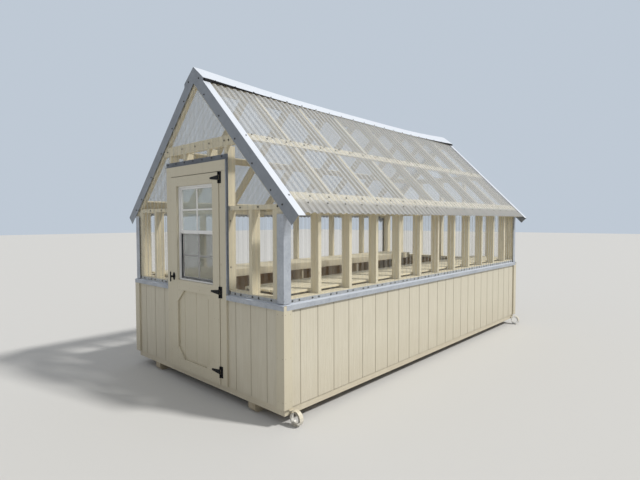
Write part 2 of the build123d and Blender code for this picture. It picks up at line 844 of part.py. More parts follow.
sash_x = jamb_x - seat_gap
sash_low = frame_low + window_border + seat_gap
sash_high = frame_high - window_border - seat_gap
upper_y = frame_y + sash_set
lower_y = upper_y + sash_t + seat_gap
upper_low = meeting_rail - meeting_h / 2
lower_high = meeting_rail + meeting_h / 2
sashes = (
    (upper_y, upper_low, sash_high, lower_high, sash_high - sash_bar),
    (lower_y, sash_low, lower_high, sash_low + sash_bar, upper_low),
)
with BuildPart() as window_sashes:
    for y, low, high, pane_low, pane_high in sashes:
        with BuildSketch(across(y)):
            ring(sash_x, low, high, sash_bar)
            with Locations((0, meeting_rail)):
                Rectangle(2 * sash_x, meeting_h)
        extrude(amount=-sash_t)
        with BuildSketch(across(y)):
            with Locations((0, (pane_low + pane_high) / 2)):
                Rectangle(muntin_w, pane_high - pane_low + 2)
                Rectangle(2 * sash_x - sash_bar, muntin_w)
        extrude(amount=-muntin_t)
window_sashes.part.label = "window_sashes"
export_step(window_sashes.part, "parts/window_sashes.step")

with BuildPart() as window_panes:
    pane_x = sash_x - sash_bar - seat_gap
    for y, low, high, pane_low, pane_high in sashes:
        y0 = y + muntin_t + seat_gap
        board(-pane_x, pane_x, y0, y0 + pane_t, pane_low + seat_gap, pane_high - seat_gap)
window_panes.part.label = "window_panes"
export_step(window_panes.part, "parts/window_panes.step")

with BuildPart() as window_screen:
    screen_y = lower_y - seat_gap - screen_t
    screen_high = upper_low - seat_gap
    with BuildSketch(across(screen_y)):
        ring(sash_x, sash_low, screen_high, screen_bar)
    extrude(amount=-screen_t)
    mesh_y = screen_y + screen_t / 2
    inner_x = sash_x - screen_bar
    board(
        -inner_x, inner_x, mesh_y, mesh_y + sheet_t,
        sash_low + screen_bar, screen_high - screen_bar,
    )
window_screen.part.label = "window_screen"
export_step(window_screen.part, "parts/window_screen.step")

# Three strap hinges: tapered straps on the leaf, plates and pins on the casing
hinge_x = half_opening - door_gap / 2
hinge_y = leaf_front - knuckle_r - 0.5
with BuildPart() as hinge_straps:
    for z in hinge_heights:
        with BuildSketch(across(leaf_front - strap_t)):
            Polygon(
                (hinge_x - pin_r - pin_clearance, z - strap_base / 2),
                (hinge_x - pin_r - pin_clearance, z + strap_base / 2),
                (hinge_x - strap_len, z + strap_tip / 2),
                (hinge_x - strap_len, z - strap_tip / 2),
                align=None,
            )
        extrude(amount=-strap_t)
        with BuildSketch(Plane.XY.offset(z - strap_base / 2)):
            with Locations((hinge_x, hinge_y)):
                Circle(knuckle_r)
        extrude(amount=strap_base)
        with BuildSketch(Plane.XY.offset(z - strap_base / 2)):
            with Locations((hinge_x, hinge_y)):
                Circle(pin_r + pin_clearance)
        extrude(amount=strap_base, mode=Mode.SUBTRACT)
hinge_straps.part.label = "hinge_straps"
export_step(hinge_straps.part, "parts/hinge_straps.step")

with BuildPart() as hinge_plates:
    web_x = hinge_x + pin_r + pin_clearance
    plate_x = hinge_x + door_gap / 2 + 1
    for z in hinge_heights:
        low = z - plate_h / 2
        end_h = (plate_h - strap_base) / 2 - knuckle_gap
        board(plate_x, plate_x + plate_w, front - strap_t, front, low, low + plate_h)
        for z0 in (low, low + plate_h - end_h):
            board(web_x, plate_x + strap_t, hinge_y - 1, front, z0, z0 + end_h)
            with BuildSketch(Plane.XY.offset(z0)):
                with Locations((hinge_x, hinge_y)):
                    Circle(knuckle_r)
            extrude(amount=end_h)
        with BuildSketch(Plane.XY.offset(low)):
            with Locations((hinge_x, hinge_y)):
                Circle(pin_r)
        extrude(amount=plate_h)
hinge_plates.part.label = "hinge_plates"
export_step(hinge_plates.part, "parts/hinge_plates.step")

# Tee handle: oval rose, stem and upright bar
bar_y = front - handle_reach + handle_bar_r
with BuildPart() as door_handle:
    with BuildSketch(across(leaf_front)):
        with Locations((handle_x, handle_z)):
            Ellipse(rose_w / 2, rose_h / 2)
    extrude(amount=rose_t)
    with BuildSketch(across(leaf_front)):
        with Locations((handle_x, handle_z)):
            Circle(handle_stem_r)
    extrude(amount=leaf_front - bar_y)
    with BuildSketch(Plane.XY.offset(handle_z - handle_bar_len / 2)):
        with Locations((handle_x, bar_y)):
            Circle(handle_bar_r)
    extrude(amount=handle_bar_len)
door_handle.part.label = "door_handle"
export_step(door_handle.part, "parts/door_handle.step")
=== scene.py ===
import bpy
import bmesh
import numpy as np
from math import cos, pi, radians, sin
from mathutils import Matrix, Vector


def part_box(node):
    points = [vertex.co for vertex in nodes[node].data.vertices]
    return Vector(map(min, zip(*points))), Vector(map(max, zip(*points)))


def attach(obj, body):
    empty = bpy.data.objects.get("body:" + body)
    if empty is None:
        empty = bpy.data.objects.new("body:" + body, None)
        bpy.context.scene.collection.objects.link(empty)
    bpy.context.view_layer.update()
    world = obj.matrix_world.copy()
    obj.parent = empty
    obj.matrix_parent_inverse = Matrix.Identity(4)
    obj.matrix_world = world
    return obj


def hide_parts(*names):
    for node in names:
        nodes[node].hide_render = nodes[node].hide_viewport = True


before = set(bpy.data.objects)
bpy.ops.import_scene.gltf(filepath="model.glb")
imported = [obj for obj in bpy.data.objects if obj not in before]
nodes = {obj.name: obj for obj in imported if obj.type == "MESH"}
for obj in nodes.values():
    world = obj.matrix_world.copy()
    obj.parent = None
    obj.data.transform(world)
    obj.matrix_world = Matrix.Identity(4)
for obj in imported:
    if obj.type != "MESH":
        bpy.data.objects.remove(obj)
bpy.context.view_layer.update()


# The camera stands outside the door's hinge side at eye height, as in the photograph.
# Its place, turn and lens were fitted to the building's corners, floor rim and belt.
focal_px, image_px = 448.77, 640
camera_at = (3.735, -4.726, 1.597)
yaw, tilt, roll = radians(42.772), radians(87.596), radians(-0.116)
camera_data = bpy.data.cameras.new("camera")
camera_data.sensor_width = 36.0
camera_data.lens = camera_data.sensor_width * focal_px / image_px
camera = bpy.data.objects.new("camera", camera_data)
bpy.context.scene.collection.objects.link(camera)
turn = Matrix.Rotation(yaw, 4, "Z") @ Matrix.Rotation(tilt, 4, "X")
turn = turn @ Matrix.Rotation(roll, 4, "Z")
camera.matrix_world = Matrix.Translation(camera_at) @ turn
bpy.context.scene.camera = camera


# A pale floor and an even pale background, lit by one wide soft lamp from the sunny side
# and by the plain light of the surroundings. The background's own colour shows only to the
# camera, in gloss and through the clear sheets.
scene = bpy.context.scene
scene.view_settings.view_transform = "Standard"
backdrop, surroundings = (0.52, 0.585, 0.665, 1), (0.95, 0.97, 1.0, 1)
surroundings_level, lamp_level, lamp_spread = 0.50, 2.8, radians(6)
lamp_from = Vector((0.62, 0.30, 0.72))
half_floor = 60.0


def add(tree, kind, props=None, **inputs):
    """Adds a shader node. Inputs are named by socket (Base_Color) or place (in0), and take
    a value or another node's socket."""
    made = tree.nodes.new(kind)
    for key, value in (props or {}).items():
        setattr(made, key, value)
    for key, value in inputs.items():
        place = int(key[2:]) if key.startswith("in") and key[2:].isdigit() else None
        socket = made.inputs[key.replace("_", " ") if place is None else place]
        if isinstance(value, bpy.types.NodeSocket):
            tree.links.new(value, socket)
        else:
            socket.default_value = value
    return made


def new_finish(name):
    """New material, with its node tree and its shader."""
    made = bpy.data.materials.new(name)
    made.use_nodes = True
    return made, made.node_tree, made.node_tree.nodes["Principled BSDF"]


world = bpy.data.worlds.new("studio")
scene.world = world
world.use_nodes = True
tree = world.node_tree
tree.nodes.clear()
path = add(tree, "ShaderNodeLightPath")
seen = add(tree, "ShaderNodeMath", {"operation": "MAXIMUM"},
           in0=path.outputs["Is Camera Ray"], in1=path.outputs["Is Glossy Ray"])
seen = add(tree, "ShaderNodeMath", {"operation": "MAXIMUM"},
           in0=seen.outputs[0], in1=path.outputs["Is Transmission Ray"])
level = add(tree, "ShaderNodeMapRange", Value=seen.outputs[0], To_Min=surroundings_level,
            To_Max=1.0)
hue = add(tree, "ShaderNodeMix", {"data_type": "RGBA"}, in0=seen.outputs[0],
          in6=surroundings, in7=backdrop)
sky = add(tree, "ShaderNodeBackground", Color=hue.outputs[2], Strength=level.outputs[0])
add(tree, "ShaderNodeOutputWorld", Surface=sky.outputs[0])

lamp_data = bpy.data.lights.new("soft_lamp", "SUN")
lamp_data.energy = lamp_level
lamp_data.angle = lamp_spread
lamp_data.color = (1.0, 0.98, 0.94)
lamp = bpy.data.objects.new("soft_lamp", lamp_data)
scene.collection.objects.link(lamp)
lamp.rotation_euler = lamp_from.to_track_quat("Z", "Y").to_euler()

floor_mesh = bpy.data.meshes.new("studio_floor")
floor_mesh.from_pydata(
    [(x * half_floor, y * half_floor, 0) for x, y in ((-1, -1), (1, -1), (1, 1), (-1, 1))],
    [], [(0, 1, 2, 3)],
)
floor = bpy.data.objects.new("studio_floor", floor_mesh)
scene.collection.objects.link(floor)
floor_paint, tree, shader = new_finish("studio_floor")
shader.inputs["Base Color"].default_value = (0.60, 0.595, 0.58, 1)
shader.inputs["Roughness"].default_value = 0.95
floor_mesh.materials.append(floor_paint)


# Two runners under the floor, of painted timber with noses cut back below, scuffed and
# dusty from the ground. The boards of the whole building share their grain pattern, which
# runs along each board.
def shader_group(name, inputs, outputs):
    """New shader node group. Inputs are (name, socket type, value), outputs (name, type)."""
    group = bpy.data.node_groups.new(name, "ShaderNodeTree")
    for label, kind, value in inputs:
        socket = group.interface.new_socket(label, in_out="INPUT", socket_type=kind)
        if value is not None:
            socket.default_value = value
    for label, kind in outputs:
        group.interface.new_socket(label, in_out="OUTPUT", socket_type=kind)
    return group, group.nodes.new("NodeGroupInput"), group.nodes.new("NodeGroupOutput")


def on_piece(tree):
    """Places on the piece, in metres."""
    return add(tree, "ShaderNodeTexCoord").outputs["Object"]


FLOAT, VECTOR = "NodeSocketFloat", "NodeSocketVector"

# Grain: streaks along the board, with a few knots, on a map in metres
grain, take, give = shader_group(
    "board_grain",
    [("Map", VECTOR, None), ("Along", FLOAT, 2.2), ("Across", FLOAT, 70.0)],
    [("Streaks", FLOAT), ("Knots", FLOAT), ("Blotches", FLOAT), ("Chips", FLOAT)],
)
parts = add(grain, "ShaderNodeSeparateXYZ", Vector=take.outputs["Map"])
along = add(grain, "ShaderNodeMath", {"operation": "MULTIPLY"},
            in0=parts.outputs[0], in1=take.outputs["Along"])
across = add(grain, "ShaderNodeMath", {"operation": "MULTIPLY"},
             in0=parts.outputs[1], in1=take.outputs["Across"])
stretched = add(grain, "ShaderNodeCombineXYZ", X=along.outputs[0], Y=across.outputs[0])
streaks = add(grain, "ShaderNodeTexNoise", Vector=stretched.outputs[0], Scale=1.0,
              Detail=5.0, Roughness=0.65, Distortion=0.4)
clear = add(grain, "ShaderNodeMapRange", Value=streaks.outputs[0], From_Min=0.35, From_Max=0.7)
grain.links.new(clear.outputs[0], give.inputs["Streaks"])
cells = add(grain, "ShaderNodeCombineXYZ", X=parts.outputs[0], Y=parts.outputs[1])
knots = add(grain, "ShaderNodeTexVoronoi", Vector=cells.outputs[0], Scale=3.4)
ring = add(grain, "ShaderNodeMapRange", Value=knots.outputs["Distance"],
           From_Min=0.035, From_Max=0.075, To_Min=1.0, To_Max=0.0)
grain.links.new(ring.outputs[0], give.inputs["Knots"])
broad = add(grain, "ShaderNodeTexNoise", Vector=cells.outputs[0], Scale=5.0, Detail=3.0)
grain.links.new(broad.outputs[0], give.inputs["Blotches"])
flakes = add(grain, "ShaderNodeTexNoise", Vector=cells.outputs[0], Scale=26.0, Detail=8.0,
             Roughness=0.7)
worn = add(grain, "ShaderNodeMapRange", Value=flakes.outputs[0], From_Min=0.62, From_Max=0.66)
grain.links.new(worn.outputs[0], give.inputs["Chips"])

# Ground dust: strongest at the bottom, broken up by noise
dust, take, give = shader_group(
    "ground_dust",
    [("Low", FLOAT, 0.0), ("High", FLOAT, 0.5), ("Scale", FLOAT, 9.0)],
    [("Mask", FLOAT)],
)
place = on_piece(dust)
height = add(dust, "ShaderNodeSeparateXYZ", Vector=place)
fade = add(dust, "ShaderNodeMapRange", Value=height.outputs["Z"],
           From_Min=take.outputs["Low"], From_Max=take.outputs["High"], To_Min=1.0, To_Max=0.0)
cloud = add(dust, "ShaderNodeTexNoise", Vector=place, Scale=take.outputs["Scale"], Detail=6.0,
            Roughness=0.6)
mixed = add(dust, "ShaderNodeMath", {"operation": "MULTIPLY"},
            in0=fade.outputs[0], in1=cloud.outputs[0])
dust.links.new(mixed.outputs[0], give.inputs["Mask"])


def mix(tree, share, low, high):
    """Colour mix of low and high by a share or a mask."""
    made = add(tree, "ShaderNodeMix", {"data_type": "RGBA"})
    for spot, value in ((0, share), (6, low), (7, high)):
        if isinstance(value, bpy.types.NodeSocket):
            tree.links.new(value, made.inputs[spot])
        else:
            made.inputs[spot].default_value = value
    return made.outputs[2]


def scaled(tree, value, factor):
    """A mask times a number."""
    return add(tree, "ShaderNodeMath", {"operation": "MULTIPLY", "use_clamp": True},
               in0=value, in1=factor).outputs[0]


def roughen(tree, shader, mask, low, high):
    """Roughness that goes from low to high with a mask."""
    rough = add(tree, "ShaderNodeMapRange", Value=mask, To_Min=low, To_Max=high)
    tree.links.new(rough.outputs[0], shader.inputs["Roughness"])


def emboss(tree, shader, height, strength, depth):
    """Fine relief from a height mask, with its depth in metres."""
    bump = add(tree, "ShaderNodeBump", Strength=strength, Distance=depth, Height=height)
    tree.links.new(bump.outputs[0], shader.inputs["Normal"])


def srgb(red, green, blue):
    """Linear colour from the 0 to 255 values of a picture."""
    channels = []
    for value in (red, green, blue):
        value /= 255
        channels.append(value / 12.92 if value <= 0.04045 else ((value + 0.055) / 1.055) ** 2.4)
    return (*channels, 1)


def timber(name, colour, streak, knot, streak_share=0.35, roughness=0.62, dirt=0.25, wear=0.3):
    """Boards painted or bare: base colour, streak and knot colours, wear, dust low down."""
    made, tree, shader = new_finish(name)
    board_map = add(tree, "ShaderNodeUVMap", {"uv_map": "board"})
    lines = add(tree, "ShaderNodeGroup", {"node_tree": grain}, Map=board_map.outputs[0])
    soil = add(tree, "ShaderNodeGroup", {"node_tree": dust})
    tone = mix(tree, scaled(tree, lines.outputs["Streaks"], streak_share), colour, streak)
    tone = mix(tree, scaled(tree, lines.outputs["Knots"], 0.5), tone, knot)
    tone = mix(tree, scaled(tree, lines.outputs["Blotches"], 0.25), tone, streak)
    tone = mix(tree, scaled(tree, lines.outputs["Chips"], wear), tone, knot)
    tone = mix(tree, scaled(tree, soil.outputs["Mask"], dirt), tone, srgb(120, 100, 76))
    tree.links.new(tone, shader.inputs["Base Color"])
    roughen(tree, shader, lines.outputs["Streaks"], roughness - 0.08, roughness + 0.1)
    emboss(tree, shader, lines.outputs["Streaks"], 0.35, 0.0012)
    return made


def islands(shape):
    """The separate boards of one mesh, as lists of vertices, in the mesh's own order."""
    reached, found = set(), []
    for first in shape.verts:
        if first in reached:
            continue
        reached.add(first)
        group, edge = [], [first]
        while edge:
            vertex = edge.pop()
            group.append(vertex)
            for link in vertex.link_edges:
                other = link.other_vert(vertex)
                if other not in reached:
                    reached.add(other)
                    edge.append(other)
        found.append(group)
    return found


def map_boards(shape, seed):
    """Map in metres for each board: u along it, v across it, shifted by its own amount."""
    layer = shape.loops.layers.uv.new("board")
    draw = np.random.default_rng(seed)
    for group in islands(shape):
        points = np.array([v.co for v in group])
        spread = points - points.mean(axis=0)
        length = Vector(np.linalg.svd(spread, full_matrices=False)[2][0])
        shift = draw.uniform(0, 40, 2)
        for face in {f for v in group for f in v.link_faces}:
            side = face.normal.cross(length)
            if side.length < 0.3:
                side = face.normal.orthogonal()
            side.normalize()
            for loop in face.loops:
                spot = loop.vert.co
                loop[layer].uv = (spot.dot(length) + shift[0], spot.dot(side) + shift[1])


def piece_from(name, shape, material):
    """Turns a finished shape into a piece with one material."""
    mesh = bpy.data.meshes.new(name)
    shape.to_mesh(mesh)
    shape.free()
    mesh.materials.append(material)
    piece = bpy.data.objects.new(name, mesh)
    scene.collection.objects.link(piece)
    return piece


def dressed(name, cad_nodes, material, seed, easing=0.002, body="building", segments=2):
    """Copies CAD nodes into one piece with eased edges, a board map and a material."""
    shape = bmesh.new()
    for cad_node in cad_nodes:
        shape.from_mesh(nodes[cad_node].data)
    bmesh.ops.remove_doubles(shape, verts=shape.verts, dist=1e-5)
    bmesh.ops.dissolve_limit(shape, angle_limit=radians(0.5), verts=shape.verts,
                             edges=shape.edges)
    if easing:
        edges = [e for e in shape.edges
                 if len(e.link_faces) == 2 and e.calc_face_angle() > radians(20)]
        bmesh.ops.bevel(shape, geom=edges, offset=easing, segments=segments, profile=0.5,
                        affect="EDGES", clamp_overlap=True)
    bmesh.ops.recalc_face_normals(shape, faces=shape.faces)
    map_boards(shape, seed)
    piece = piece_from(name, shape, material)
    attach(piece, body)
    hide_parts(*cad_nodes)
    return piece


runner_paint = timber("runner_paint", srgb(196, 188, 166), srgb(156, 142, 116),
                      srgb(116, 98, 72), streak_share=0.45, roughness=0.7, dirt=0.7, wear=0.5)
dressed("runners", ["skids"], runner_paint, seed=2, easing=0.003)


# Floor frame and deck: rim boards and joists nailed together and painted outside, with
# bare plywood laid on top, where it shows at the door.
frame_paint = timber("frame_paint", srgb(222, 214, 190), srgb(204, 190, 156),
                     srgb(168, 146, 108), roughness=0.6, dirt=0.15, wear=0.25)
rim_paint = timber("rim_paint", srgb(208, 201, 181), srgb(184, 174, 150),
                   srgb(150, 132, 102), streak_share=0.3, roughness=0.6, dirt=0.4, wear=0.35)
bare_ply = timber("bare_plywood", srgb(176, 148, 108), srgb(140, 110, 74),
                  srgb(100, 76, 50), streak_share=0.7, roughness=0.75, dirt=0.5)
dressed("floor_rim_and_joists", ["floor_frame"], rim_paint, seed=3)
dressed("deck", ["floor_deck"], bare_ply, seed=4, easing=0)


# Walls and roof frame: studs, plates, rafters, ridge plank and purlins of sawn boards,
# painted and nailed together with their corners barely eased.
for seed, (name, members) in enumerate({
    "right_wall_boards": ["wall_frame_right"],
    "left_wall_boards": ["wall_frame_left"],
    "rear_wall_boards": ["wall_frame_rear"],
    "front_wall_boards": ["wall_frame_front_right", "wall_frame_front_left"],
    "gable_boards": ["gable_frames"],
    "rafter_boards": ["rafters"],
    "ridge_plank": ["ridge_board"],
    "purlin_boards": ["purlins"],
}.items(), start=10):
    dressed(name, members, frame_paint, seed)


# Benches along both long walls: planed boards laid with gaps on bearers and short legs,
# painted with the frame.
dressed("bench_planks", ["bench_boards"], frame_paint, seed=30)
dressed("bench_supports", ["bench_bearers", "bench_legs"], frame_paint, seed=31)


# Siding: panels pressed with a timber grain, cream outside and bare brown within, nailed
# to the studs. Their grooves are darkened by dust and by a painted shade, and rain splashes
# the lowest part.
panel_t, groove_from, inner_margin = 0.011, 0.0012, 0.0005


def pressed_siding(name, axis, panel_face):
    """Cream panel with vertical grain; bare on the inner side; grooves darkened by dust and
    painted shade.
    """
    made, tree, shader = new_finish(name)
    place = on_piece(tree)
    stretch = add(tree, "ShaderNodeMapping", Vector=place, Scale=(85, 85, 3.2))
    fibres = add(tree, "ShaderNodeTexNoise", Vector=stretch.outputs[0], Scale=1.0,
                 Detail=7.0, Roughness=0.62, Distortion=0.6)
    cathedral = add(tree, "ShaderNodeMapping", Vector=place, Scale=(9, 9, 0.8))
    figure = add(tree, "ShaderNodeTexWave", {"wave_type": "RINGS"},
                 Vector=cathedral.outputs[0], Scale=1.6, Distortion=9.0, Detail=3.0)
    dashes = add(tree, "ShaderNodeMapping", Vector=place, Scale=(110, 110, 24))
    pits = add(tree, "ShaderNodeTexNoise", Vector=dashes.outputs[0], Scale=1.0, Detail=3.0,
               Roughness=0.55, Distortion=1.2)
    relief = add(tree, "ShaderNodeMath", {"operation": "ADD"},
                 in0=fibres.outputs[0], in1=scaled(tree, figure.outputs["Fac"], 0.14))
    pressed = add(tree, "ShaderNodeMath", {"operation": "ADD"},
                  in0=relief.outputs[0], in1=scaled(tree, pits.outputs[0], 0.9))
    crease = add(tree, "ShaderNodeMapRange", Value=relief.outputs[0], From_Min=0.4,
                 From_Max=0.68)
    pale = mix(tree, scaled(tree, crease.outputs[0], 0.34), srgb(206, 200, 183),
               srgb(182, 174, 152))
    cloud = add(tree, "ShaderNodeTexNoise", Vector=place, Scale=2.2, Detail=4.0)
    pale = mix(tree, scaled(tree, cloud.outputs[0], 0.35), pale, srgb(186, 180, 162))
    soil = add(tree, "ShaderNodeGroup", {"node_tree": dust}, Low=0.13, High=0.5, Scale=6.0)
    pale = mix(tree, scaled(tree, soil.outputs["Mask"], 0.3), pale, srgb(150, 130, 100))
    brown = mix(tree, fibres.outputs[0], srgb(158, 128, 78), srgb(184, 156, 104))
    spot = add(tree, "ShaderNodeSeparateXYZ", Vector=place)
    reach = add(tree, "ShaderNodeMath", {"operation": "ABSOLUTE"}, in0=spot.outputs[axis])
    # Grooves darkened by dust and by a painted shade of the shadow inside them
    groove_dust_and_shade = add(tree, "ShaderNodeMath", {"operation": "LESS_THAN"}, in0=reach.outputs[0],
                 in1=panel_face - groove_from)
    pale = mix(tree, scaled(tree, groove_dust_and_shade.outputs[0], 0.34), pale, srgb(104, 92, 70))
    bare = add(tree, "ShaderNodeMath", {"operation": "LESS_THAN"}, in0=reach.outputs[0],
               in1=panel_face - panel_t + inner_margin)
    tree.links.new(mix(tree, bare.outputs[0], pale, brown), shader.inputs["Base Color"])
    roughen(tree, shader, fibres.outputs[0], 0.5, 0.75)
    emboss(tree, shader, pressed.outputs[0], 0.8, 0.0030)
    return made


for node, axis, outer_corner in (("siding_right", 0, 1), ("siding_left", 0, 0),
                                 ("siding_front", 1, 0), ("siding_rear", 1, 1)):
    panel_face = abs(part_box(node)[outer_corner][axis])
    dressed(node.replace("siding", "panels"), [node], pressed_siding(node, axis, panel_face),
            seed=40, easing=0.001, segments=1)


# Corner boards and door casing: smooth trim boards in the same cream paint, nailed on over
# the siding's edges and round the doorway.
cream = srgb(202, 195, 174)
trim_paint = timber("trim_paint", cream, srgb(184, 175, 152), srgb(160, 142, 112),
                    streak_share=0.3, roughness=0.5, dirt=0.35, wear=0.2)
dressed("corner_trim", ["corner_boards"], trim_paint, seed=50)
dressed("casing_trim", ["door_casing_sides", "door_casing_head"], trim_paint,
        seed=51)


# Folded galvanised sheet: belt and casing flashings and corner angles, mottled by the
# weather, and the newer rake trims and ridge cap. The casing flashing's front is a darker
# zinc, a painted shade, and faces that look up carry a painted highlight of the sky.
zinc_bloom, take, give = shader_group(
    "zinc_bloom",
    [("Spangle Scale", FLOAT, 70.0), ("Bloom Scale", FLOAT, 7.0)],
    [("Spangle", FLOAT), ("Bloom", FLOAT), ("Stain", FLOAT)],
)
place = on_piece(zinc_bloom)
crystal = add(zinc_bloom, "ShaderNodeTexVoronoi", Vector=place,
              Scale=take.outputs["Spangle Scale"])
tint = add(zinc_bloom, "ShaderNodeSeparateXYZ", Vector=crystal.outputs["Color"])
zinc_bloom.links.new(tint.outputs[0], give.inputs["Spangle"])
cloud = add(zinc_bloom, "ShaderNodeTexNoise", Vector=place,
            Scale=take.outputs["Bloom Scale"], Detail=6.0, Roughness=0.62)
bloom = add(zinc_bloom, "ShaderNodeMapRange", Value=cloud.outputs[0], From_Min=0.35,
            From_Max=0.65)
zinc_bloom.links.new(bloom.outputs[0], give.inputs["Bloom"])
blot = add(zinc_bloom, "ShaderNodeTexNoise", Vector=place, Scale=38.0, Detail=5.0,
           Roughness=0.7)
stain = add(zinc_bloom, "ShaderNodeMapRange", Value=blot.outputs[0], From_Min=0.56,
            From_Max=0.68)
zinc_bloom.links.new(stain.outputs[0], give.inputs["Stain"])


def zinc_sheet(name, pale, dark, stained, stain_share, metallic, low, high, sky_lit=None):
    """Galvanised steel: two greys in spangle and bloom, stains, roughness from low to high.
    Faces that look up are painted paler where a colour is given: a painted sky highlight."""
    made, tree, shader = new_finish(name)
    zinc = add(tree, "ShaderNodeGroup", {"node_tree": zinc_bloom})
    tone = mix(tree, scaled(tree, zinc.outputs["Spangle"], 0.35), pale, dark)
    tone = mix(tree, scaled(tree, zinc.outputs["Bloom"], 0.6), tone, dark)
    tone = mix(tree, scaled(tree, zinc.outputs["Stain"], stain_share), tone, stained)
    if sky_lit:
        # Painted highlight: faces that look up are mixed towards a paler colour, as if lit by the
        # sky
        place = add(tree, "ShaderNodeTexCoord")
        upward = add(tree, "ShaderNodeSeparateXYZ", Vector=place.outputs["Normal"])
        painted_sky_highlight = add(tree, "ShaderNodeMapRange", Value=upward.outputs["Z"],
                        From_Min=0.3, From_Max=0.5, To_Max=0.9)
        tone = mix(tree, painted_sky_highlight.outputs[0], tone, sky_lit)
    tree.links.new(tone, shader.inputs["Base Color"])
    shader.inputs["Metallic"].default_value = metallic
    roughen(tree, shader, zinc.outputs["Bloom"], low, high)
    emboss(tree, shader, zinc.outputs["Bloom"], 0.25, 0.002)
    return made


old_zinc = zinc_sheet("mottled_zinc", srgb(182, 187, 193), srgb(150, 156, 166),
                      srgb(118, 123, 132), stain_share=0.5, metallic=0.12, low=0.42,
                      high=0.6, sky_lit=srgb(202, 208, 218))
# The dark zinc below is a painted shade, for the casing flashing's front in shadow
shaded_zinc = zinc_sheet("shaded_zinc", srgb(112, 117, 124), srgb(84, 88, 95),
                       srgb(66, 68, 74), stain_share=0.5, metallic=0.1, low=0.5, high=0.65)
new_zinc = zinc_sheet("newer_zinc_sky_lit", srgb(142, 147, 154), srgb(122, 127, 134),
                      srgb(106, 110, 116), stain_share=0.2, metallic=0.12, low=0.34,
                      high=0.46, sky_lit=srgb(224, 229, 237))
for node, zinc, seed in (("belt_flashing", old_zinc, 60), ("corner_angles", old_zinc, 60),
                         ("casing_flashing", shaded_zinc, 60), ("rake_trims", new_zinc, 61),
                         ("ridge_cap", new_zinc, 61)):
    folded = dressed(node + "_metal", [node], zinc, seed, easing=0)
    if zinc == shaded_zinc:
        # The casing's flashing: its front faces take a dark zinc, a painted shade for the shadow
        # beside the casing, and its edges the mottled zinc
        folded.data.materials.append(old_zinc)
        for face in folded.data.polygons:
            if abs(face.normal[0]) > 0.9:
                face.material_index = 1


# Clear corrugated sheets on the walls and the roof: thin polycarbonate, filmed with dust
# in streaks that run along its waves. The sheets are closed solids of the true thickness.
def clear_plastic(name, stretch, haze, glancing, streaking, film_colour, grey_band,
                  grey_share):
    """Clear sheet: its veil goes from haze face on to glancing edge on, and grows thicker and
    greyer below the first of two given heights, fading out at the second. Light passes it freely."""
    made, tree, shader = new_finish(name)
    place = on_piece(tree)
    along = add(tree, "ShaderNodeMapping", Vector=place, Scale=stretch)
    film = add(tree, "ShaderNodeTexNoise", Vector=along.outputs[0], Scale=1.0, Detail=5.0,
               Roughness=0.6)
    runs = add(tree, "ShaderNodeMapRange", Value=film.outputs[0], From_Min=0.4, From_Max=0.7)
    height = add(tree, "ShaderNodeSeparateXYZ", Vector=place)
    low_grey_veil = add(tree, "ShaderNodeMapRange", Value=height.outputs["Z"],
                    From_Min=grey_band[0], From_Max=grey_band[1], To_Min=grey_share, To_Max=0.0)
    tone = mix(tree, scaled(tree, runs.outputs[0], 0.6), film_colour, srgb(192, 188, 178))
    tone = mix(tree, scaled(tree, low_grey_veil.outputs[0], 2.4), tone, srgb(166, 165, 162))
    tree.links.new(tone, shader.inputs["Base Color"])
    roughen(tree, shader, film.outputs[0], 0.08, 0.26)
    facing = add(tree, "ShaderNodeLayerWeight", Blend=0.5)
    veil = add(tree, "ShaderNodeMapRange", {"interpolation_type": "SMOOTHSTEP"},
               Value=facing.outputs["Facing"], From_Min=0.2, From_Max=1.0, To_Min=haze,
               To_Max=glancing)
    streak = add(tree, "ShaderNodeMath", {"operation": "MULTIPLY"}, in0=runs.outputs[0],
                 in1=streaking)
    total = add(tree, "ShaderNodeMath", {"operation": "ADD"}, in0=veil.outputs[0],
                in1=streak.outputs[0])
    total = add(tree, "ShaderNodeMath", {"operation": "ADD"}, in0=total.outputs[0],
                in1=low_grey_veil.outputs[0])
    path = add(tree, "ShaderNodeLightPath")
    passing = add(tree, "ShaderNodeMapRange", Value=path.outputs["Is Shadow Ray"],
                  To_Min=1.0, To_Max=0.3)
    alpha = add(tree, "ShaderNodeMath", {"operation": "MULTIPLY"}, in0=total.outputs[0],
                in1=passing.outputs[0])
    tree.links.new(alpha.outputs[0], shader.inputs["Alpha"])
    return made


# Lower down the sheets grow thicker and greyer: slightly above the belt, much more at the eave.
above_belt, above_eave = (0.97, 1.06), (1.735, 1.775)
side_clear = clear_plastic("clear_side_sheet", stretch=(2.0, 40.0, 0.5), haze=0.03,
                           glancing=0.20, streaking=0.07, film_colour=srgb(172, 173, 166),
                           grey_band=above_belt, grey_share=0.06)
end_clear = clear_plastic("clear_end_sheet", stretch=(40.0, 2.0, 0.5), haze=0.04,
                          glancing=0.24, streaking=0.10, film_colour=srgb(186, 186, 176),
                          grey_band=above_belt, grey_share=0.06)
roof_clear = clear_plastic("clear_roof_sheet", stretch=(0.5, 34.0, 0.5), haze=0.25,
                           glancing=0.42, streaking=0.12, film_colour=srgb(200, 204, 208),
                           grey_band=above_eave, grey_share=0.36)
for clear_sheet, members in (
    (side_clear, ("sheet_wall_right", "sheet_wall_left")),
    (end_clear, ("sheet_front_bays", "sheet_front_gable", "sheet_rear")),
    (roof_clear, ("sheet_roof_right", "sheet_roof_left")),
):
    for node in members:
        nodes[node].data.materials.clear()
        nodes[node].data.materials.append(clear_sheet)
scene.cycles.transparent_max_bounces = 32


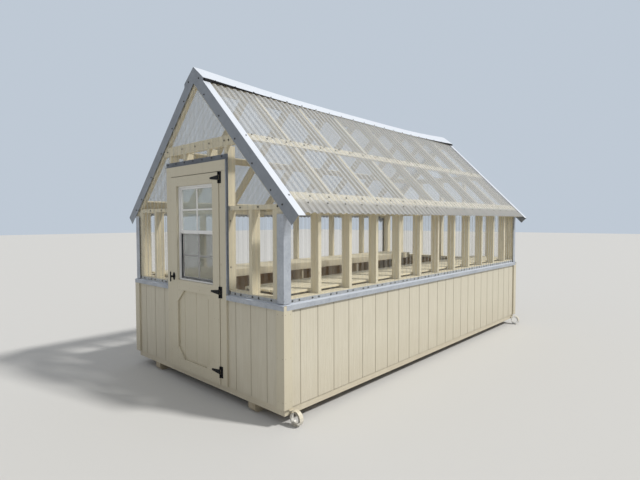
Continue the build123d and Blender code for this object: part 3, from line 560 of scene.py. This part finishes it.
# Black foam strips that close the gap between the ridge cap's edges and the roof sheets,
# which is widest by the two gables where the cap rides up over the rake trims. Their
# near-black also stands for the shade in that gap, so it is partly a painted shade.
apex_z, slope = 2.982, radians(45)
wave_top, foam_in, foam_out = 0.0325, 0.160, 0.186
foam_in_share, foam_out_share = 0.58, 0.62
foam_short, foam_steps = 0.016, 41
cap_rise, cap_level, cap_reach = 0.035, 0.077, 1.80
cap_low, cap_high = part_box("ridge_cap")


def slope_point(side, along, out, y):
    """Point on a roof slope: side 1 or -1, down from the apex, out from the rafters' tops."""
    return (side * (along * cos(slope) + out * sin(slope)), y,
            apex_z - along * sin(slope) + out * cos(slope))


def cap_lift(y):
    """How far the cap stands off the sheets: most by its ends, none past its reach."""
    near = min(y - cap_low[1], cap_high[1] - y)
    return cap_rise * (1 - min(1, max(0, near - cap_level) / (cap_reach - cap_level))) ** 2


def skin(shape, rings):
    """Closes a shape over its rings of points, and over the first and the last ring."""
    for before, after in zip(rings, rings[1:]):
        for n in range(len(before)):
            following = (n + 1) % len(before)
            shape.faces.new((before[n], before[following], after[following], after[n]))
    shape.faces.new(rings[0])
    shape.faces.new(rings[-1])


foam_and_gap_shade, tree, shader = new_finish("black_foam_and_gap_shade")
cells = add(tree, "ShaderNodeTexNoise", Vector=on_piece(tree), Scale=300.0, Detail=2.0)
# Near-black foam, which also stands for the shade in the gap under the cap: partly painted shade
tree.links.new(mix(tree, cells.outputs[0], (0.010, 0.010, 0.011, 1), (0.03, 0.03, 0.032, 1)),
               shader.inputs["Base Color"])
roughen(tree, shader, cells.outputs[0], 0.85, 1.0)
emboss(tree, shader, cells.outputs[0], 0.6, 0.001)

foam = bmesh.new()
for side in (1, -1):
    rings = []
    for y in np.linspace(cap_low[1] + foam_short, cap_high[1] - foam_short, foam_steps):
        inner_top = wave_top + foam_in_share * cap_lift(y)
        outer_top = wave_top + foam_out_share * cap_lift(y)
        rings.append([foam.verts.new(slope_point(side, along, out, y)) for along, out in (
            (foam_in, wave_top), (foam_out, wave_top), (foam_out, outer_top),
            (foam_in, inner_top))])
    skin(foam, rings)
bmesh.ops.recalc_face_normals(foam, faces=foam.faces)
ridge_foam_and_shade = piece_from("ridge_foam_and_shade", foam, foam_and_gap_shade)
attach(ridge_foam_and_shade, "building")


# End tabs of the ridge cap: wedges of the same galvanised sheet, bent down from its two
# raised ends onto the rake trims.
tab_reach, tab_t, tab_inset, tab_from = 0.1600, 0.0008, 0.0006, 0.001
rake_top_z, rake_gap, cap_edge_z, cap_gap = 3.0287, 0.0006, 2.9008, 0.0012
tab_outline = ((tab_from, rake_top_z), (tab_reach, rake_top_z - tab_reach + rake_gap),
               (tab_reach, cap_edge_z + cap_gap))
tabs = bmesh.new()
for side in (1, -1):
    for end_y, way in ((cap_low[1], 1), (cap_high[1], -1)):
        skin(tabs, [[tabs.verts.new((side * x, end_y + way * depth, z)) for x, z in tab_outline]
                    for depth in (tab_inset, tab_inset + tab_t)])
bmesh.ops.recalc_face_normals(tabs, faces=tabs.faces)
cap_tabs = piece_from("cap_end_tabs", tabs, new_zinc)
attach(cap_tabs, "building")


# Sheet screws: hexagon heads on dark rubber washers, through the waves into the boards.
# On the walls they sit in every third valley or in pairs, on the roof on every third crest.
screw_tree = bpy.data.node_groups.new("screw_rows", "GeometryNodeTree")
screw_tree.is_modifier = True
for label, kind, value in (
    ("Rows", "NodeSocketGeometry", None),
    ("Washer Radius", FLOAT, 0.0078),
    ("Washer Height", FLOAT, 0.0018),
    ("Washer Sides", "NodeSocketInt", 10),
    ("Head Radius", FLOAT, 0.0046),
    ("Head Height", FLOAT, 0.0045),
    ("Head Sides", "NodeSocketInt", 6),
    ("Seed", "NodeSocketInt", 11),
    ("Finish", "NodeSocketMaterial", None),
):
    socket = screw_tree.interface.new_socket(label, in_out="INPUT", socket_type=kind)
    if value is not None:
        socket.default_value = value
screw_tree.interface.new_socket("Screws", in_out="OUTPUT", socket_type="NodeSocketGeometry")
take, give = screw_tree.nodes.new("NodeGroupInput"), screw_tree.nodes.new("NodeGroupOutput")
curve = add(screw_tree, "GeometryNodeMeshToCurve", Mesh=take.outputs["Rows"])
number = add(screw_tree, "GeometryNodeInputNamedAttribute", {"data_type": "INT"}, Name="screws")
places = add(screw_tree, "GeometryNodeResampleCurve", Curve=curve.outputs[0],
             Count=number.outputs[0])
outward = add(screw_tree, "GeometryNodeInputNamedAttribute", {"data_type": "FLOAT_VECTOR"},
              Name="outward")
upright = add(screw_tree, "FunctionNodeAlignRotationToVector", {"axis": "Z"},
              Vector=outward.outputs[0])
angle = add(screw_tree, "FunctionNodeRandomValue", {"data_type": "FLOAT"}, in2=0.0, in3=pi,
            Seed=take.outputs["Seed"])
spin = add(screw_tree, "FunctionNodeAxisAngleToRotation", Axis=(0, 0, 1), Angle=angle.outputs[1])
driven = add(screw_tree, "FunctionNodeRotateRotation", {"rotation_space": "LOCAL"},
             in0=upright.outputs[0], in1=spin.outputs[0])
whole = add(screw_tree, "GeometryNodeJoinGeometry")
discs = []
for sides, radius, height, below, is_head in (
    ("Washer Sides", "Washer Radius", "Washer Height", None, 0.0),
    ("Head Sides", "Head Radius", "Head Height", "Washer Height", 1.0),
):
    disc = add(screw_tree, "GeometryNodeMeshCylinder", Vertices=take.outputs[sides],
               Radius=take.outputs[radius], Depth=take.outputs[height])
    half = add(screw_tree, "ShaderNodeMath", {"operation": "MULTIPLY"},
               in0=take.outputs[height], in1=0.5)
    lift = add(screw_tree, "ShaderNodeMath", {"operation": "ADD"}, in0=half.outputs[0],
               in1=take.outputs[below] if below else 0.0)
    shift = add(screw_tree, "ShaderNodeCombineXYZ", Z=lift.outputs[0])
    raised = add(screw_tree, "GeometryNodeTransform", Geometry=disc.outputs["Mesh"],
                 Translation=shift.outputs[0])
    discs.append(add(screw_tree, "GeometryNodeStoreNamedAttribute", Geometry=raised.outputs[0],
                     Name="head", Value=is_head))
for disc in discs:
    screw_tree.links.new(disc.outputs[0], whole.inputs[0])
placed = add(screw_tree, "GeometryNodeInstanceOnPoints", Points=places.outputs[0],
             Instance=whole.outputs[0], Rotation=driven.outputs[0])
real = add(screw_tree, "GeometryNodeRealizeInstances", Geometry=placed.outputs[0])
finished = add(screw_tree, "GeometryNodeSetMaterial", Geometry=real.outputs[0],
               Material=take.outputs["Finish"])
screw_tree.links.new(finished.outputs[0], give.inputs[0])


def fastener(name, washer, head, metallic, roughness):
    """Finish of a screw or nail: the washer's colour, and the head's by its attribute."""
    made, tree, shader = new_finish(name)
    part = add(tree, "ShaderNodeAttribute", {"attribute_name": "head"})
    cloud = add(tree, "ShaderNodeTexNoise", Vector=on_piece(tree), Scale=160.0, Detail=3.0)
    worn = mix(tree, scaled(tree, cloud.outputs[0], 0.6), head,
               tuple(0.5 * value for value in head[:3]) + (1,))
    tree.links.new(mix(tree, part.outputs["Fac"], washer, worn), shader.inputs["Base Color"])
    shine = scaled(tree, part.outputs["Fac"], metallic)
    tree.links.new(shine, shader.inputs["Metallic"])
    roughen(tree, shader, cloud.outputs[0], roughness - 0.08, roughness + 0.12)
    return made


def fixed(name, rows, finish, body, slot, **sizes):
    """Screws or nails in straight rows of (start, end, outward direction, number)."""
    ends, lines, counts, normals = [], [], [], []
    for start, end, direction, count in rows:
        lines.append((len(ends), len(ends) + 1))
        ends += [start, end]
        counts += [count, count]
        normals += [direction, direction]
    wires = bpy.data.meshes.new(name + "_rows")
    wires.from_pydata(ends, lines, [])
    wires.attributes.new("screws", "INT", "POINT").data.foreach_set("value", counts)
    wires.attributes.new("outward", "FLOAT_VECTOR", "POINT").data.foreach_set(
        "vector", np.array(normals, dtype=float).ravel())
    piece = bpy.data.objects.new(name, wires)
    scene.collection.objects.link(piece)
    modifier = piece.modifiers.new("screws", "NODES")
    modifier.node_group = screw_tree
    wanted = {label.replace("_", " "): value for label, value in sizes.items()}
    wanted["Finish"] = finish
    for item in screw_tree.interface.items_tree:
        if item.item_type == "SOCKET" and item.in_out == "INPUT" and item.name in wanted:
            modifier[item.identifier] = wanted[item.name]
    bpy.context.view_layer.update()
    evaluated = piece.evaluated_get(bpy.context.evaluated_depsgraph_get())
    made = bpy.data.meshes.new_from_object(evaluated)
    piece.modifiers.clear()
    piece.data = made
    made.name = name
    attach(piece, body)
    return piece


# Where the sheets' valleys lie, the boards behind them, and the waves' starts and widths
wall_x, front_y, rear_y, head_y = 1.2097, -2.4042, 2.4542, -2.4184
belt_z, plate_z, eave_z, nailer_z, head_z = 0.973, 1.713, 1.672, 2.2965, 2.164
side_from, side_wave = -2.4025, 4.855 / 64
bay_from, bay_wave = 0.5035, 0.7045 / 9
gable_from, gable_wave = -0.5005, 1.001 / 13
rear_from, rear_wave = -1.208, 2.416 / 32
valley, crest, crest_out = 0.15, 0.65, 0.0122
bay_edge_x, bay_edge_heights, gable_edge_x = 0.536, (1.20, 1.60), 0.517
every, long_run, bay_run = 3, 60, 6
forward, rearward = (0, -1, 0), (0, 1, 0)
rows = []


def row(spots, count, direction):
    """Adds a row of screws between the first and last of two spots."""
    rows.append((spots[0], spots[-1], direction, count))


for side in (1, -1):
    for first in (1, 2):
        ys = [side_from + (n + valley) * side_wave for n in (first, first + long_run)]
        for z in (belt_z, eave_z):
            row([(side * wall_x, y, z) for y in ys], long_run // every + 1, (side, 0, 0))
    for first, z in ((1, belt_z), (2, belt_z), (2, plate_z)):
        xs = [side * (bay_from + (n + valley) * bay_wave) for n in (first, first + bay_run)]
        row([(x, front_y, z) for x in xs], bay_run // every + 1, forward)
    row([(side * bay_edge_x, front_y, z) for z in bay_edge_heights], 2, forward)
    row([(side * gable_edge_x, front_y, nailer_z)] * 2, 1, forward)
xs = [gable_from + (n + crest) * gable_wave for n in (3, 12)]
row([(x, front_y - crest_out, nailer_z) for x in xs], 4, forward)
xs = [gable_from + (n + valley) * gable_wave for n in (0, 12)]
row([(x, head_y, head_z) for x in xs], 7, forward)
for first, last, z in ((1, 31, belt_z), (2, 29, belt_z), (1, 31, plate_z), (11, 20, nailer_z)):
    xs = [rear_from + (n + valley) * rear_wave for n in (first, last)]
    row([(x, rear_y, z) for x in xs], (last - first) // every + 1, rearward)

# On the roof: lines of (first crest, distance down the slope), the cap's edge, and the
# rake trims with their single screws at the foot and at the peak
roof_from, roof_wave, roof_waves = -2.4164, 4.8828 / 64, 63
roof_lines, roof_top = ((0, 0.975), (1, 0.945), (0, 1.708), (2, 1.786)), 0.0321
cap_line, cap_top, cap_share = 0.180, 0.0335, 0.66
rake_run, rake_line, rake_foot, rake_peak = (0.29, 1.57), -0.046, (1.745, -0.034), (0.113, 0.010)
for side in (1, -1):
    slope_out = (side * sin(slope), 0, cos(slope))
    for first, along in roof_lines:
        ys = [roof_from + (n + crest) * roof_wave for n in (first, first + long_run)]
        row([slope_point(side, along, roof_top, y) for y in ys], long_run // every + 1, slope_out)
    for n in range(1, roof_waves, every):
        y = roof_from + (n + crest) * roof_wave
        row([slope_point(side, cap_line, cap_top + cap_share * cap_lift(y), y)] * 2, 1,
            slope_out)
    for y, direction in ((-2.4175, forward), (2.4675, rearward)):
        row([slope_point(side, along, rake_line, y) for along in rake_run], 5, direction)
        for along, out in (rake_foot, rake_peak):
            row([slope_point(side, along, out, y)] * 2, 1, direction)
washered = fastener("washered_screw", (0.018, 0.017, 0.016, 1), srgb(92, 88, 80),
                    metallic=0.6, roughness=0.5)
fixed("sheet_screws", rows, washered, "building", "galvanised")


# Door leaf: planted boards nailed over a grooved panel, both in the trim's cream paint, on
# a frame of stiles and rails in the paint of the wall boards.
door_paint = timber("door_paint", cream, srgb(186, 178, 156), srgb(160, 142, 112),
                    streak_share=0.25, roughness=0.48, dirt=0.35, wear=0.15)
dressed("leaf_boards", ["door_boards"], door_paint, seed=70, easing=0.0015,
        body="door")
dressed("leaf_panel", ["door_panel"], door_paint, seed=71, easing=0.001,
        body="door", segments=1)
dressed("leaf_frame", ["door_ledges"], frame_paint, seed=72, body="door")


# Finishing nails in the trim and in the leaf's boards: small steel heads, sunk a little
# and painted over. Runs give the first and last nail of a row along a board.
nail_paint = fastener("painted_nail", srgb(128, 118, 96), srgb(176, 168, 148), metallic=0.0,
                      roughness=0.6)
nail = {"Washer_Radius": 0.0034, "Washer_Height": 0.0003, "Head_Radius": 0.0028,
        "Head_Height": 0.0003, "Head_Sides": 8, "Washer_Sides": 8}
leaf_y, trim_y, rear_trim_y, trim_x = -2.4375, -2.4325, 2.4825, 1.238
casing_xs, casing_run, casing_top = (0.432, 0.482), (0.30, 1.90), 2.086
corner_xs, corner_ys, corner_run = (1.166, 1.222), (-2.416, -2.362, 2.412, 2.466), (0.20, 0.88)
stile_xs, stile_run = (0.322, 0.390), (0.34, 1.88)
rail_zs, rail_run = (0.165, 0.215, 0.955, 0.998, 1.962, 2.006), (0.27, 0.09)
building_nails, leaf_nails = [], []


def upright_row(x, y, run, direction, count):
    """Nails or screws up a board, between the two heights of a run."""
    return (x, y, run[0]), (x, y, run[1]), direction, count


for side in (1, -1):
    for x in casing_xs:
        building_nails.append(upright_row(side * x, trim_y, casing_run, forward, 5))
        building_nails.append(upright_row(side * x, trim_y, (casing_top,) * 2, forward, 1))
    for x in corner_xs:
        for y, direction in ((trim_y, forward), (rear_trim_y, rearward)):
            building_nails.append(upright_row(side * x, y, corner_run, direction, 3))
    for y in corner_ys:
        building_nails.append(upright_row(side * trim_x, y, corner_run, (side, 0, 0), 3))
    for x in stile_xs:
        leaf_nails.append(upright_row(side * x, leaf_y, stile_run, forward, 5))
    for z in rail_zs:
        leaf_nails.append((*[(side * x, leaf_y, z) for x in rail_run], forward, 2))
fixed("trim_nails", building_nails, nail_paint, "building", "trim_paint", **nail)
fixed("leaf_nails", leaf_nails, nail_paint, "door", "door_paint", **nail)


# Window in the leaf: white vinyl frame and divided sashes, clear panes held in them, and a
# dark insect screen outside the lower sash.
def plain(name, colour, roughness, shine=0.5, wear=0.15, grime=0.0):
    """Even finish with slight cloudiness in its colour and gloss."""
    made, tree, shader = new_finish(name)
    place = on_piece(tree)
    cloud = add(tree, "ShaderNodeTexNoise", Vector=place, Scale=30.0, Detail=5.0)
    fine = add(tree, "ShaderNodeTexNoise", Vector=place, Scale=420.0, Detail=2.0)
    darker = tuple(c * (1 - wear) for c in colour[:3]) + (1,)
    tone = mix(tree, cloud.outputs[0], colour, darker)
    if grime:
        worn = add(tree, "ShaderNodeMapRange", Value=cloud.outputs[0], From_Min=0.55,
                   From_Max=0.75)
        tone = mix(tree, scaled(tree, worn.outputs[0], grime), tone, srgb(120, 106, 86))
    tree.links.new(tone, shader.inputs["Base Color"])
    roughen(tree, shader, cloud.outputs[0], roughness - 0.06, roughness + 0.08)
    emboss(tree, shader, fine.outputs[0], 0.2, 0.0004)
    shader.inputs["Specular IOR Level"].default_value = shine
    return made


vinyl = plain("white_vinyl", srgb(232, 232, 231), roughness=0.35, wear=0.08, grime=0.05)
dressed("window_frame_vinyl", ["window_frame"], vinyl, seed=80,
        easing=0.0015, body="door")
dressed("window_sash_vinyl", ["window_sashes"], vinyl, seed=81,
        easing=0.001, body="door")

glass, tree, shader = new_finish("pane_glass")
smear = add(tree, "ShaderNodeTexNoise", Vector=on_piece(tree), Scale=5.0, Detail=6.0)
tree.links.new(mix(tree, smear.outputs[0], srgb(206, 216, 214), srgb(188, 196, 190)),
               shader.inputs["Base Color"])
roughen(tree, shader, smear.outputs[0], 0.02, 0.07)
facing = add(tree, "ShaderNodeLayerWeight", Blend=0.3)
veil = add(tree, "ShaderNodeMapRange", Value=facing.outputs["Fresnel"], To_Min=0.05, To_Max=0.6)
tree.links.new(veil.outputs[0], shader.inputs["Alpha"])
nodes["window_panes"].data.materials.clear()
nodes["window_panes"].data.materials.append(glass)

# The screen is woven cloth in a dark frame: the weave and its gaps go on the faces that
# look out or in and lie inside the frame
weave_pitch, cloth_half, cloth_inset = 0.0016, 0.1, 0.1
screen_dark = plain("screen_frame", (0.030, 0.031, 0.033, 1), roughness=0.5, wear=0.3)
weave, tree, shader = new_finish("insect_mesh")
place = on_piece(tree)
uneven = add(tree, "ShaderNodeTexNoise", Vector=place, Scale=12.0, Detail=3.0)
tree.links.new(mix(tree, uneven.outputs[0], (0.012, 0.012, 0.013, 1), (0.022, 0.022, 0.022, 1)),
               shader.inputs["Base Color"])
axes = add(tree, "ShaderNodeSeparateXYZ", Vector=place)
wires = []
for axis in (0, 2):
    phase = add(tree, "ShaderNodeMath", {"operation": "MULTIPLY"}, in0=axes.outputs[axis],
                in1=2 * pi / weave_pitch)
    wave = add(tree, "ShaderNodeMath", {"operation": "SINE"}, in0=phase.outputs[0])
    wires.append(add(tree, "ShaderNodeMapRange", Value=wave.outputs[0], From_Min=0.5,
                     From_Max=0.8))
cloth = add(tree, "ShaderNodeMath", {"operation": "MAXIMUM"}, in0=wires[0].outputs[0],
            in1=wires[1].outputs[0])
cover = add(tree, "ShaderNodeMapRange", Value=cloth.outputs[0], To_Min=0.03, To_Max=0.36)
tree.links.new(cover.outputs[0], shader.inputs["Alpha"])
roughen(tree, shader, uneven.outputs[0], 0.55, 0.8)
shader.inputs["Specular IOR Level"].default_value = 0.15
screen = dressed("window_screen_cloth", ["window_screen"], screen_dark,
                 seed=82, easing=0, body="door")
screen.data.materials.append(weave)
screen_low, screen_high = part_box("window_screen")
cloth_low, cloth_high = screen_low[2] + cloth_inset, screen_high[2] - cloth_inset
for face in screen.data.polygons:
    x, z = face.center[0], face.center[2]
    if abs(x) < cloth_half and cloth_low < z < cloth_high and abs(face.normal[1]) > 0.9:
        face.material_index = 1


# Three strap hinges and a tee handle: steel with a dull black coat, screwed to the leaf
# and to the casing.
black = plain("black_iron", (0.007, 0.007, 0.008, 1), roughness=0.6, shine=0.2, wear=0.3,
              grime=0.02)
for name, node, body, seed in (("hinge_strap_iron", "hinge_straps", "door", 90),
                               ("hinge_plate_iron", "hinge_plates", "building", 91),
                               ("handle_iron", "door_handle", "door", 92)):
    dressed(name, [node], black, seed, easing=0.0005, body=body)


# Flared neck of the tee handle, of the same black iron, cast in one with its plate and
# bar. Its profile is (distance out from the plate, radius).
neck_x, neck_z, neck_from, neck_sides = -0.368, 1.052, -2.4410, 14
neck_profile = ((0.0, 0.0135), (0.007, 0.0092), (0.020, 0.0088), (0.034, 0.0118))
neck = bmesh.new()
skin(neck, [[neck.verts.new((neck_x + radius * cos(2 * pi * n / neck_sides),
                             neck_from - depth,
                             neck_z + radius * sin(2 * pi * n / neck_sides)))
             for n in range(neck_sides)] for depth, radius in neck_profile])
bmesh.ops.recalc_face_normals(neck, faces=neck.faces)
handle_neck = piece_from("handle_neck", neck, black)
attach(handle_neck, "door")


# Screws of the hinges and the handle: round black heads on thin black washers, three
# through each strap, two and two through each hinge plate, two through the handle's plate.
black_screw = fastener("black_screw", (0.012, 0.012, 0.013, 1), (0.02, 0.02, 0.021, 1),
                       metallic=0.0, roughness=0.5)
bolt = {"Washer_Radius": 0.0048, "Washer_Height": 0.0008, "Head_Radius": 0.0034,
        "Head_Height": 0.0012, "Head_Sides": 10, "Washer_Sides": 12}
hinge_zs, strap_run, strap_y = (0.257, 0.970, 1.981), (0.382, 0.306), -2.4405
plate_x, plate_y, plate_run = 0.4305, -2.4355, (0.040, 0.014)
handle_y, handle_zs = -2.4415, (1.024, 1.080)
strap_rows, plate_rows = [], []
for z in hinge_zs:
    strap_rows.append((*[(x, strap_y, z) for x in strap_run], forward, 3))
    for way in (-1, 1):
        run = [z + way * reach for reach in plate_run]
        plate_rows.append(upright_row(plate_x, plate_y, run, forward, 2))
for z in handle_zs:
    strap_rows.append(upright_row(neck_x, handle_y, (z, z), forward, 1))
fixed("strap_bolts", strap_rows, black_screw, "door", "black_iron", **bolt)
fixed("plate_bolts", plate_rows, black_screw, "building", "black_iron", **bolt)


# Coiled tie-down straps: flat steel on a tab nailed to the rim, painted over with it on the
# outermost turn and bare within.
coil_x, coil_z, painted_from, paint_edge = 1.266, 0.062, 0.060, 0.002
strap, tree, shader = new_finish("strap_steel")
place = on_piece(tree)
spot = add(tree, "ShaderNodeMapping", Vector=place, Location=(-coil_x, 0, -coil_z),
           Scale=(1, 0, 1))
turn_radius = add(tree, "ShaderNodeVectorMath", {"operation": "LENGTH"}, Vector=spot.outputs[0])
painted = add(tree, "ShaderNodeMapRange", Value=turn_radius.outputs["Value"],
              From_Min=painted_from - paint_edge, From_Max=painted_from + paint_edge)
scuff = add(tree, "ShaderNodeTexNoise", Vector=place, Scale=60.0, Detail=5.0)
bare = mix(tree, scuff.outputs[0], srgb(222, 220, 214), srgb(176, 172, 162))
coat = mix(tree, scuff.outputs[0], srgb(222, 216, 200), srgb(190, 180, 156))
tree.links.new(mix(tree, painted.outputs[0], bare, coat), shader.inputs["Base Color"])
shine = add(tree, "ShaderNodeMapRange", Value=painted.outputs[0], To_Min=0.25, To_Max=0.0)
tree.links.new(shine.outputs[0], shader.inputs["Metallic"])
roughen(tree, shader, scuff.outputs[0], 0.35, 0.6)
emboss(tree, shader, scuff.outputs[0], 0.3, 0.0006)
dressed("strap_coils", ["tie_down_straps"], strap, seed=93, easing=0)
